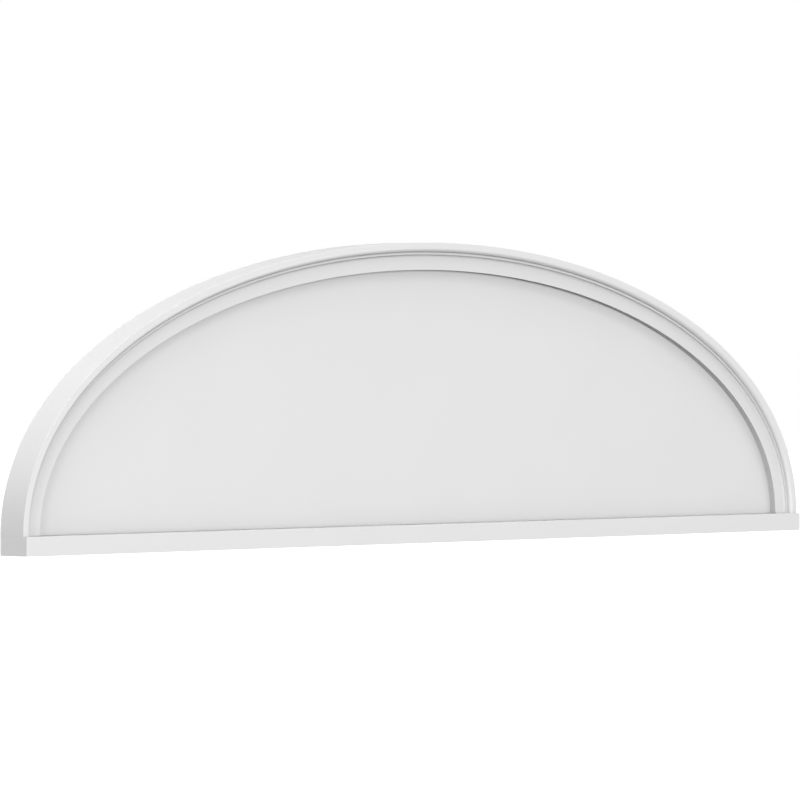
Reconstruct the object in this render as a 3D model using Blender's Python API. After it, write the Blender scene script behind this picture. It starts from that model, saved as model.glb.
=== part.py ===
# A segmental pediment for the head of a door or window: a bottom trim, an arch moulding that
# stands on it, and the tympanum panel that fills the arch. Metres, +Z up, front towards -Y.
# The back is flat, for the wall, and the origin is on it, half way across and half way up.

from math import cos, hypot, pi, sin

import bpy

INCH = 0.0254

# Driving dimensions. Depths are measured forward from the flat back.
WIDTH = 62 * INCH
HEIGHT = 16.5 * INCH
TRIM_HEIGHT = 1 * INCH
TRIM_DEPTH = 2 * INCH
ARCH_WIDTH = 1.5 * INCH
RIM_DEPTH = 1.75 * INCH
BAND_DEPTH = 1.375 * INCH
PANEL_DEPTH = 1 * INCH

# The arch's section, measured inwards from its outer edge: a flat rim, a quarter round,
# a fillet, a small cove and the flat band.
RIM_WIDTH = 5 / 16 * INCH
ROUND_RADIUS = 7 / 32 * INCH
FILLET_WIDTH = 1 / 8 * INCH
COVE_RADIUS = 5 / 32 * INCH

# Between pieces that meet.
JOINT_GAP = 0.0003

ARCH_STEPS = 120
ROUND_STEPS = 8
COVE_STEPS = 5

# The edge of the opening is a true half ellipse on short upright legs, which keep the arch's
# feet level on the trim, and every other line of the arch runs parallel to it.
LEG_HEIGHT = 0.001
SPRINGING = TRIM_HEIGHT + JOINT_GAP - HEIGHT / 2
OPENING_HALF_WIDTH = WIDTH / 2 - ARCH_WIDTH
OPENING_RISE = HEIGHT / 2 - ARCH_WIDTH - SPRINGING - LEG_HEIGHT

PVC_COLOUR = (0.84, 0.84, 0.84, 1.0)


def clear_scene():
    for obj in list(bpy.data.objects):
        bpy.data.objects.remove(obj)


def new_collection(name):
    collection = bpy.data.collections.new(name)
    bpy.context.scene.collection.children.link(collection)
    return collection


def pvc_material(name, roughness):
    material = bpy.data.materials.new(name)
    material.use_nodes = True
    shader = material.node_tree.nodes["Principled BSDF"]
    shader.inputs["Base Color"].default_value = PVC_COLOUR
    shader.inputs["Roughness"].default_value = roughness
    shader.inputs["Metallic"].default_value = 0.0
    return material


def opening_points(inset=0.0):
    """Points along the opening's edge, from the foot of the right leg to that of the left one,
    moved inwards by inset along the curve's normal. Heights are above the springing."""
    points = [(OPENING_HALF_WIDTH - inset, 0)]
    for step in range(ARCH_STEPS + 1):
        angle = pi * step / ARCH_STEPS
        across, up = OPENING_HALF_WIDTH * cos(angle), LEG_HEIGHT + OPENING_RISE * sin(angle)
        normal_x, normal_y = OPENING_RISE * cos(angle), OPENING_HALF_WIDTH * sin(angle)
        length = hypot(normal_x, normal_y)
        points.append((across - inset * normal_x / length, up - inset * normal_y / length))
    points.append((inset - OPENING_HALF_WIDTH, 0))
    return points


def arch_section():
    """The arch's outline as (outwards from the opening, forward from the back) pairs."""
    round_centre = ARCH_WIDTH - RIM_WIDTH
    fillet_outer = round_centre - ROUND_RADIUS
    fillet_inner = fillet_outer - FILLET_WIDTH
    fillet_depth = RIM_DEPTH - ROUND_RADIUS
    cove_centre = (fillet_inner - COVE_RADIUS, BAND_DEPTH + COVE_RADIUS)
    outline = [(0, 0), (ARCH_WIDTH, 0), (ARCH_WIDTH, RIM_DEPTH)]
    for step in range(ROUND_STEPS + 1):
        angle = pi / 2 * step / ROUND_STEPS
        outline.append((round_centre - ROUND_RADIUS * sin(angle), fillet_depth + ROUND_RADIUS * cos(angle)))
    for step in range(COVE_STEPS + 1):
        angle = pi / 2 * step / COVE_STEPS
        outline.append((cove_centre[0] + COVE_RADIUS * cos(angle), cove_centre[1] - COVE_RADIUS * sin(angle)))
    outline.append((0, BAND_DEPTH))
    return outline[::-1]


def poly_curve(name, points, cyclic, dimensions, collection):
    curve = bpy.data.curves.new(name, "CURVE")
    curve.dimensions = dimensions
    spline = curve.splines.new("POLY")
    spline.points.add(len(points) - 1)
    for point, (x, y) in zip(spline.points, points):
        point.co = (x, y, 0, 1)
    spline.use_cyclic_u = cyclic
    obj = bpy.data.objects.new(name, curve)
    collection.objects.link(obj)
    return obj


def stand_up(obj, forward):
    """Turns a shape drawn flat so that its Y points up from the springing and its Z points to
    the front."""
    obj.rotation_euler = (pi / 2, 0, 0)
    obj.location = (0, -forward, SPRINGING)


def make_arch(collection, guides, material):
    """The section carried along the opening's edge. Its two feet stand on the bottom trim."""
    section = poly_curve("arch_section", arch_section(), True, "2D", guides)
    section.hide_render = True
    section.display_type = "WIRE"
    arch = poly_curve("arch_moulding", opening_points(), False, "3D", collection)
    arch.data.twist_mode = "Z_UP"
    arch.data.bevel_mode = "OBJECT"
    arch.data.bevel_object = section
    arch.data.use_fill_caps = True
    arch.data.materials.append(material)
    stand_up(arch, 0)


def make_panel(collection, material):
    """A flat board cut to the opening."""
    panel = poly_curve("tympanum_panel", opening_points(JOINT_GAP), True, "2D", collection)
    panel.data.fill_mode = "BOTH"
    panel.data.extrude = PANEL_DEPTH / 2
    panel.data.materials.append(material)
    stand_up(panel, PANEL_DEPTH / 2)


def make_trim(collection, material):
    """A square-edged bar, as long as the arch is wide and a little prouder than its rim."""
    bpy.ops.mesh.primitive_cube_add(size=1, location=(0, -TRIM_DEPTH / 2, (TRIM_HEIGHT - HEIGHT) / 2))
    trim = bpy.context.active_object
    trim.name = "bottom_trim"
    trim.scale = (WIDTH, TRIM_DEPTH, TRIM_HEIGHT)
    bpy.ops.object.transform_apply(location=False, rotation=False, scale=True)
    for owner in list(trim.users_collection):
        owner.objects.unlink(trim)
    collection.objects.link(trim)
    trim.data.materials.append(material)


def main():
    clear_scene()
    pieces = new_collection("segmental_pediment")
    guides = new_collection("guides")
    make_arch(pieces, guides, pvc_material("routed_pvc", 0.5))
    make_panel(pieces, pvc_material("pvc_sheet", 0.45))
    make_trim(pieces, pvc_material("pvc_bar", 0.45))


main()
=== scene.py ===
from math import cos, pi, radians, sin

import bpy
import numpy as np
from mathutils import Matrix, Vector


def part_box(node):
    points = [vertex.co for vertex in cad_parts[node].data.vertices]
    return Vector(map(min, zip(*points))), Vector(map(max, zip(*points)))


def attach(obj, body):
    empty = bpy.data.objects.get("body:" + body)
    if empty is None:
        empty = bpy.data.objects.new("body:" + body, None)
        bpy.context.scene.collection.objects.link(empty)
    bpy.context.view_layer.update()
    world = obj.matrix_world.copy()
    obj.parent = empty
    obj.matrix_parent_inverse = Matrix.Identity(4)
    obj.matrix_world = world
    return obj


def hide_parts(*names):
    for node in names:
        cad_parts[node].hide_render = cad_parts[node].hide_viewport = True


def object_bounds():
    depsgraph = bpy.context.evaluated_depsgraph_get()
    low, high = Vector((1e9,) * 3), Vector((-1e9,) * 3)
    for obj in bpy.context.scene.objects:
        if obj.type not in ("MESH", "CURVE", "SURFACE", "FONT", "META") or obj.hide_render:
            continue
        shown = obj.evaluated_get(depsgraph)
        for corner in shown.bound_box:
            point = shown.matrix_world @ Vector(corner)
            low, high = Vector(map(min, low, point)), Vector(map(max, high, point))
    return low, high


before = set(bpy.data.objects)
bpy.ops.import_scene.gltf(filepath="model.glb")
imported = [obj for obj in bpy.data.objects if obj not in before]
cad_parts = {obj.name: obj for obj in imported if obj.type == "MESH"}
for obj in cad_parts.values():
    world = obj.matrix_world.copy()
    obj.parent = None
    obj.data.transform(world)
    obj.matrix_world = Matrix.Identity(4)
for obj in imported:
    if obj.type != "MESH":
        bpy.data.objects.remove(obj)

mm = 0.001
inch = 0.0254

# A white arched pediment of expanded PVC, glued up from three pieces. Its size and the places
# of the pieces are read from the frame. Depths run forward from the flat back, which is y = 0.
cadLow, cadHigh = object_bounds()
archLow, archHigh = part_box("arch_moulding")
panelLow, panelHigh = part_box("tympanum_panel")
trimLow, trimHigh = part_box("bottom_trim")
glueLine = 0.3 * mm   # the gap that the solids keep between two pieces
seam = 0.05 * mm      # what shows of a glued joint once the squeeze-out is wiped off
footLevel = trimHigh.z + seam   # where the arch and the panel stand on the trim
samePlace = 0.001 * mm          # points closer than this are one point
sharpAngle = radians(32)        # an edge that turns by more than this shows as an edge


# Nodes, colours and meshes

def linearColour(hexColour):
    # sRGB to linear: the straight part for the darkest values, then the 2.4 power curve
    srgb = np.array([int(hexColour[i:i + 2], 16) for i in (1, 3, 5)]) / 255
    light = np.where(srgb <= 0.04045, srgb / 12.92, ((srgb + 0.055) / 1.055) ** 2.4)
    return (*light.tolist(), 1.0)


def addNode(tree, kind, settings=None, links=None):
    # settings holds the node's own properties or its sockets' values, links its sockets' sources
    node = tree.nodes.new(kind)
    for name, value in (settings or {}).items():
        if isinstance(name, str) and hasattr(node, name):
            setattr(node, name, value)
        else:
            node.inputs[name].default_value = value
    for name, source in (links or {}).items():
        tree.links.new(source, node.inputs[name])
    return node


def closedSkin(name, rings, material, poles):
    # rings[i, j] is point j of ring i. Each ring is joined to the next and is closed on itself.
    # At each end the skin is closed by a flat cap, or by a pole in the middle of the last ring.
    rowCount, pointCount = rings.shape[:2]
    index = np.arange(rowCount * pointCount).reshape(rowCount, pointCount)
    here, ahead = index, np.roll(index, -1, axis=1)
    quads = np.stack([here[:-1], ahead[:-1], ahead[1:], here[1:]], axis=-1).reshape(-1, 4)
    points = rings.reshape(-1, 3)
    faces = quads.tolist()
    if poles:
        points = np.concatenate([points, rings[[0, -1]].mean(axis=1)])
        first, last = len(points) - 2, len(points) - 1
        start = np.stack([ahead[0], here[0], np.full(pointCount, first)], axis=-1)
        finish = np.stack([here[-1], ahead[-1], np.full(pointCount, last)], axis=-1)
        faces += start.tolist() + finish.tolist()
    else:
        faces += [here[0][::-1].tolist(), here[-1].tolist()]
    mesh = bpy.data.meshes.new(name)
    mesh.from_pydata(points.tolist(), [], faces)
    mesh.shade_smooth()
    mesh.set_sharp_from_angle(angle=sharpAngle)
    mesh.materials.append(material)
    piece = bpy.data.objects.new(name, mesh)
    bpy.context.scene.collection.objects.link(piece)
    return piece


def standIn(piece, node):
    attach(piece, "root")
    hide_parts(node)


def softenedOutline(corners, radii, steps, guard):
    # Each corner is cut by an arc that is tangent to both sides of it:
    # point = corner + radius * (back * (1 - sin angle) + ahead * (1 - cos angle)).
    # A guard point on each side of the arc keeps the flats beside it evenly shaded.
    corners = np.array(corners, float)
    outline = []
    for corner, before, after, radius, step in zip(
            corners, np.roll(corners, 1, axis=0), np.roll(corners, -1, axis=0), radii, steps):
        if radius == 0:
            outline.append(corner[None])
            continue
        back, ahead = before - corner, after - corner
        backRoom, aheadRoom = np.hypot(*back), np.hypot(*ahead)
        back, ahead = back / backRoom, ahead / aheadRoom
        angle = np.linspace(0, pi / 2, step + 1)[:, None]
        arc = corner + radius * (back * (1 - np.sin(angle)) + ahead * (1 - np.cos(angle)))
        if radius + guard < backRoom / 2:
            outline.append((corner + back * (radius + guard))[None])
        outline.append(arc)
        if radius + guard < aheadRoom / 2:
            outline.append((corner + ahead * (radius + guard))[None])
    outline = np.concatenate(outline)
    apart = np.hypot(*(outline - np.roll(outline, 1, axis=0)).T)
    return outline[apart > samePlace]


# Materials

pvc = {
    "white": "#eeeeee",       # titanium white pigment all through the board
    "mottle": 140 * mm,       # soft clouds left by the calender rolls
    "mottleDetail": 3.0,
    "cell": 0.6 * mm,         # the foam's cells are 0.1 to 0.3 mm and are drawn coarser to show
    "cellDetail": 1.0,
    "toneSpread": 0.015,      # how far the clouds change the white, and the roughness
    "roughnessSpread": 0.05,
    "grainStrength": 0.12,
    "skinRoughness": 0.42,
    "skinGrain": 0.03 * mm,
    "cutRoughness": 0.52,
    "cutGrain": 0.06 * mm,
    "refraction": 1.53,
}


def expandedPvc(name, roughness, grainHeight):
    # Expanded PVC board is extruded between rolls, which leave a closed satin skin, so it gives
    # an even white with a broad faint gloss. Where a router or a saw has cut it the fine cells
    # are open, and the surface is duller and lightly grained.
    material = bpy.data.materials.new(name)
    material.use_nodes = True
    tree = material.node_tree
    shader = tree.nodes["Principled BSDF"]
    white = linearColour(pvc["white"])
    place = addNode(tree, "ShaderNodeTexCoord").outputs["Object"]
    clouds = addNode(tree, "ShaderNodeTexNoise",
                     {"Scale": 1 / pvc["mottle"], "Detail": pvc["mottleDetail"]},
                     {"Vector": place}).outputs["Fac"]
    cells = addNode(tree, "ShaderNodeTexNoise",
                    {"Scale": 1 / pvc["cell"], "Detail": pvc["cellDetail"]},
                    {"Vector": place}).outputs["Fac"]
    tone = addNode(tree, "ShaderNodeMapRange",
                   {"To Min": 1 - pvc["toneSpread"], "To Max": 1 + pvc["toneSpread"]},
                   {"Value": clouds})
    colour = addNode(tree, "ShaderNodeVectorMath", {"operation": "SCALE", 0: white[:3]},
                     {"Scale": tone.outputs["Result"]})
    tree.links.new(colour.outputs["Vector"], shader.inputs["Base Color"])
    spread = pvc["roughnessSpread"]
    sheen = addNode(tree, "ShaderNodeMapRange",
                    {"To Min": roughness - spread, "To Max": roughness + spread},
                    {"Value": clouds})
    tree.links.new(sheen.outputs["Result"], shader.inputs["Roughness"])
    grain = addNode(tree, "ShaderNodeBump",
                    {"Strength": pvc["grainStrength"], "Distance": grainHeight},
                    {"Height": cells})
    tree.links.new(grain.outputs["Normal"], shader.inputs["Normal"])
    shader.inputs["IOR"].default_value = pvc["refraction"]
    shader.inputs["Metallic"].default_value = 0.0
    return material


# The arch

archMoulding = {
    "rimWidth": 5 / 16 * inch,
    "roundRadius": 7 / 32 * inch,
    "filletWidth": 1 / 8 * inch,
    "coveRadius": 5 / 32 * inch,
    "arris": 0.2 * mm,        # sanded off by hand
    "legHeight": 1 * mm,      # the upright foot of each limb, below the half ellipse
    "steps": 520,             # along the half ellipse
    "roundSteps": 16,
    "coveSteps": 10,
    "arrisSteps": 3,
}
openingHalfWidth = panelHigh.x + glueLine
legTop = archLow.z + archMoulding["legHeight"]
openingRise = panelHigh.z + glueLine - legTop
archWidth = archHigh.x - openingHalfWidth


def openingEdge(steps):
    # A half ellipse on short upright legs, (a cos t, leg + b sin t), from the right foot to the
    # left one, and its outward normal, (b cos t, a sin t) made one long
    angle = np.linspace(0, pi, steps + 1)
    height = np.concatenate([[footLevel], legTop + openingRise * np.sin(angle), [footLevel]])
    turn = np.concatenate([[0], angle, [pi]])
    edge = np.stack([openingHalfWidth * np.cos(turn), height], axis=-1)
    normal = np.stack([openingRise * np.cos(turn), openingHalfWidth * np.sin(turn)], axis=-1)
    return edge, normal / np.hypot(*normal.T)[:, None]


def makeArch(material):
    # The section runs from the opening outwards over the back, and comes back over the face: rim,
    # quarter round, fillet, cove and band. Each point of it is carried along the opening's edge:
    # point = edge + normal * outwards, at the section's depth in front of the back.
    a = archMoulding
    rimDepth = -archLow.y
    filletDepth = rimDepth - a["roundRadius"]
    bandDepth = filletDepth - a["coveRadius"]
    roundFoot = archWidth - a["rimWidth"] - a["roundRadius"]
    coveTop = roundFoot - a["filletWidth"]
    corners = [(0, 0), (archWidth, 0), (archWidth, rimDepth), (roundFoot, rimDepth),
               (roundFoot, filletDepth), (coveTop, filletDepth), (coveTop, bandDepth),
               (0, bandDepth)]
    arris = a["arris"]
    radii = [arris, arris, arris, a["roundRadius"], 0, arris, a["coveRadius"] - arris, arris]
    fine = a["arrisSteps"]
    steps = [fine, fine, fine, a["roundSteps"], 0, fine, a["coveSteps"], fine]
    section = softenedOutline(corners, radii, steps, arris)[::-1]
    edge, normal = openingEdge(a["steps"])
    flat = edge[:, None] + normal[:, None] * section[None, :, :1]
    depth = np.broadcast_to(section[:, 1], flat.shape[:2])
    rings = np.stack([flat[..., 0], -depth, flat[..., 1]], axis=-1)
    arch = closedSkin("routed_arch", rings, material, poles=False)
    standIn(arch, "arch_moulding")


# The panel

tympanumPanel = {
    "arris": 0.3 * mm,
    "arrisSteps": 3,
    "steps": 300,
    "footSteps": 90,
    "rings": 5,               # over each face, from near the middle to near the edge
    "innerShare": 0.2,
    "outerShare": 0.995,
}


def makePanel(material):
    # Rings shrink from the board's edge to its middle over each face:
    # point = middle + share * (edge - middle)
    p = tympanumPanel
    thickness = -panelLow.y
    edge, normal = openingEdge(p["steps"])
    edge = edge - normal * seam
    foot = np.linspace(edge[-1], edge[0], p["footSteps"] + 1)[1:-1]
    outline = np.concatenate([edge, foot])
    inward = np.concatenate([-normal, np.tile([0.0, 1.0], (len(foot), 1))])
    middle = np.array([0, legTop + openingRise / 2])
    angle = np.linspace(0, pi / 2, p["arrisSteps"] + 1)
    shares = np.linspace(p["innerShare"], p["outerShare"], p["rings"])
    setIn = p["arris"] * (1 - np.sin(angle))
    rise = p["arris"] * (1 - np.cos(angle))
    face = middle + shares[:, None, None] * (outline - middle)
    side = outline + setIn[:, None, None] * inward
    flat = np.concatenate([face, side, side[::-1], face[::-1]])
    level = np.zeros(len(shares))
    depth = np.concatenate([level, rise, thickness - rise[::-1], level + thickness])
    depth = np.broadcast_to(depth[:, None], flat.shape[:2])
    rings = np.stack([flat[..., 0], -depth, flat[..., 1]], axis=-1)
    panel = closedSkin("panel_board", rings, material, poles=True)
    standIn(panel, "tympanum_panel")


# The bottom trim

bottomTrim = {"arris": 0.25 * mm, "arrisSteps": 3, "steps": 48}


def makeTrim(material):
    # The section is carried along x. Towards each end it draws in along a small arc:
    # x = end - arris * (1 - sin angle), and inset = arris * (1 - cos angle). One more ring lies
    # on the end face itself, two arrises in, and keeps the flat end evenly shaded.
    arris, fine = bottomTrim["arris"], bottomTrim["arrisSteps"]
    depth, height = -trimLow.y, trimHigh.z - trimLow.z
    angle = np.linspace(pi / 2, 0, fine + 1)
    endX = trimLow.x + arris * np.append(0, 1 - np.sin(angle))
    endInset = arris * np.append(2, 1 - np.cos(angle))
    along = np.linspace(trimLow.x + 2 * arris, trimHigh.x - 2 * arris, bottomTrim["steps"])
    x = np.concatenate([endX, along, -endX[::-1]])
    inset = np.concatenate([endInset, 0 * along, endInset[::-1]])
    corners = [(0, 0), (depth, 0), (depth, height), (0, height)]
    section = softenedOutline(corners, [arris] * 4, [fine] * 4, arris)[::-1]
    middle = np.array([depth, height]) / 2
    shrink = 1 - inset[:, None, None] / middle
    flat = middle + (section - middle) * shrink
    across = np.broadcast_to(x[:, None], flat.shape[:2])
    rings = np.stack([across, -flat[..., 0], trimLow.z + flat[..., 1]], axis=-1)
    trim = closedSkin("square_trim", rings, material, poles=False)
    standIn(trim, "bottom_trim")


# The studio

studio = {
    "floorDrop": 0.5,         # below the part, which hangs on a wall in use
    "floorSize": 60.0,
    "floorGlow": 1.2,         # brighter than white, so that the floor never shows
    "paperWhite": "#fafafa",
    "paperRoughness": 0.9,
    "lightDistance": 15.0,
    "lightSize": 7.5,
}
studioLights = {              # azimuth from the front towards the right, elevation, watts
    "frontBox": (-15, 5, 1227.0),
    "leftBox": (-75, 5, 745.0),
    "rightHighBox": (45, 40, 269.0),
    "frontHighBox": (0, 65, 440.0),
    "topBox": (0, 88, 1316.0),
    "backBox": (180, 5, 990.0),     # these two are hidden from the front by the part itself
    "underBox": (180, -55, 810.0),
}
skyLobes = {                  # direction, brightness straight along it
    "left": ((-1, 0, 0), 0.24),
    "front": ((0, -1, 0), 0.24),
}
camera = {
    "place": (-5.531, -5.213, 0.0386),
    "turn": 46.526,           # degrees from straight on, towards the right
    "tilt": -0.3713,
    "lens": 243.57,
    "farthest": 200,
}


def makeFloor():
    size = studio["floorSize"] / 2
    level = cadLow.z - studio["floorDrop"]
    mesh = bpy.data.meshes.new("studio_floor")
    mesh.from_pydata([(-size, -size, level), (size, -size, level), (size, size, level),
                      (-size, size, level)], [], [(0, 1, 2, 3)])
    floor = bpy.data.objects.new("studio_floor", mesh)
    bpy.context.scene.collection.objects.link(floor)
    paper = bpy.data.materials.new("white_paper")
    paper.use_nodes = True
    shader = paper.node_tree.nodes["Principled BSDF"]
    shader.inputs["Base Color"].default_value = linearColour(studio["paperWhite"])
    shader.inputs["Roughness"].default_value = studio["paperRoughness"]
    shader.inputs["Emission Color"].default_value = (1, 1, 1, 1)
    shader.inputs["Emission Strength"].default_value = studio["floorGlow"]
    paper.cycles.emission_sampling = "NONE"   # the glow is for the camera alone
    mesh.materials.append(paper)
    floor.visible_diffuse = False   # its bounce stays off the undersides
    floor.visible_glossy = False
    floor.visible_shadow = False    # the light from below still reaches the part


def makeSky():
    # brightness = the sum over the lobes of level * max(0, direction . lobe). The camera itself
    # sees plain white.
    world = bpy.data.worlds.new("studio_sky")
    bpy.context.scene.world = world
    world.use_nodes = True
    tree = world.node_tree
    tree.nodes.clear()
    direction = addNode(tree, "ShaderNodeTexCoord").outputs["Generated"]
    total = addNode(tree, "ShaderNodeValue").outputs[0]
    total.default_value = 0.0
    for axis, level in skyLobes.values():
        side = addNode(tree, "ShaderNodeVectorMath", {"operation": "DOT_PRODUCT", 1: axis},
                       {0: direction})
        lobe = addNode(tree, "ShaderNodeMath", {"operation": "MAXIMUM", 1: 0.0},
                       {0: side.outputs["Value"]})
        total = addNode(tree, "ShaderNodeMath", {"operation": "MULTIPLY_ADD", 1: level},
                        {0: lobe.outputs["Value"], 2: total}).outputs["Value"]
    lit = addNode(tree, "ShaderNodeBackground", {"Color": (1, 1, 1, 1)}, {"Strength": total})
    seen = addNode(tree, "ShaderNodeBackground", {"Color": (1, 1, 1, 1), "Strength": 1.0})
    ray = addNode(tree, "ShaderNodeLightPath").outputs["Is Camera Ray"]
    mix = addNode(tree, "ShaderNodeMixShader", links={
        0: ray, 1: lit.outputs["Background"], 2: seen.outputs["Background"]})
    addNode(tree, "ShaderNodeOutputWorld", links={"Surface": mix.outputs["Shader"]})


def makeLights():
    for name, (azimuth, elevation, watts) in studioLights.items():
        data = bpy.data.lights.new(name, "AREA")
        data.size = studio["lightSize"]
        data.energy = watts
        lamp = bpy.data.objects.new(name, data)
        across, up = radians(azimuth), radians(elevation)
        away = Vector((sin(across) * cos(up), -cos(across) * cos(up), sin(up)))
        lamp.location = away * studio["lightDistance"]
        lamp.rotation_mode = "QUATERNION"
        lamp.rotation_quaternion = away.to_track_quat("Z", "Y")
        bpy.context.scene.collection.objects.link(lamp)


def makeCamera():
    data = bpy.data.cameras.new("front_left")
    data.lens = camera["lens"]
    data.clip_end = camera["farthest"]
    eye = bpy.data.objects.new("front_left", data)
    eye.location = camera["place"]
    eye.rotation_euler = (radians(90 + camera["tilt"]), 0, -radians(camera["turn"]))
    bpy.context.scene.collection.objects.link(eye)
    bpy.context.scene.camera = eye


makeCamera()
cutPvc = expandedPvc("expanded_pvc_routed", pvc["cutRoughness"], pvc["cutGrain"])
skinPvc = expandedPvc("expanded_pvc_skin", pvc["skinRoughness"], pvc["skinGrain"])
makeArch(cutPvc)
print("arch made")
makePanel(skinPvc)
print("panel made")
makeTrim(skinPvc)
print("trim made")
makeFloor()
makeSky()
makeLights()
bpy.context.scene.view_settings.view_transform = "Standard"
bpy.context.scene.cycles.diffuse_bounces = 0   # this came closest to the photo's shading
print("studio made")
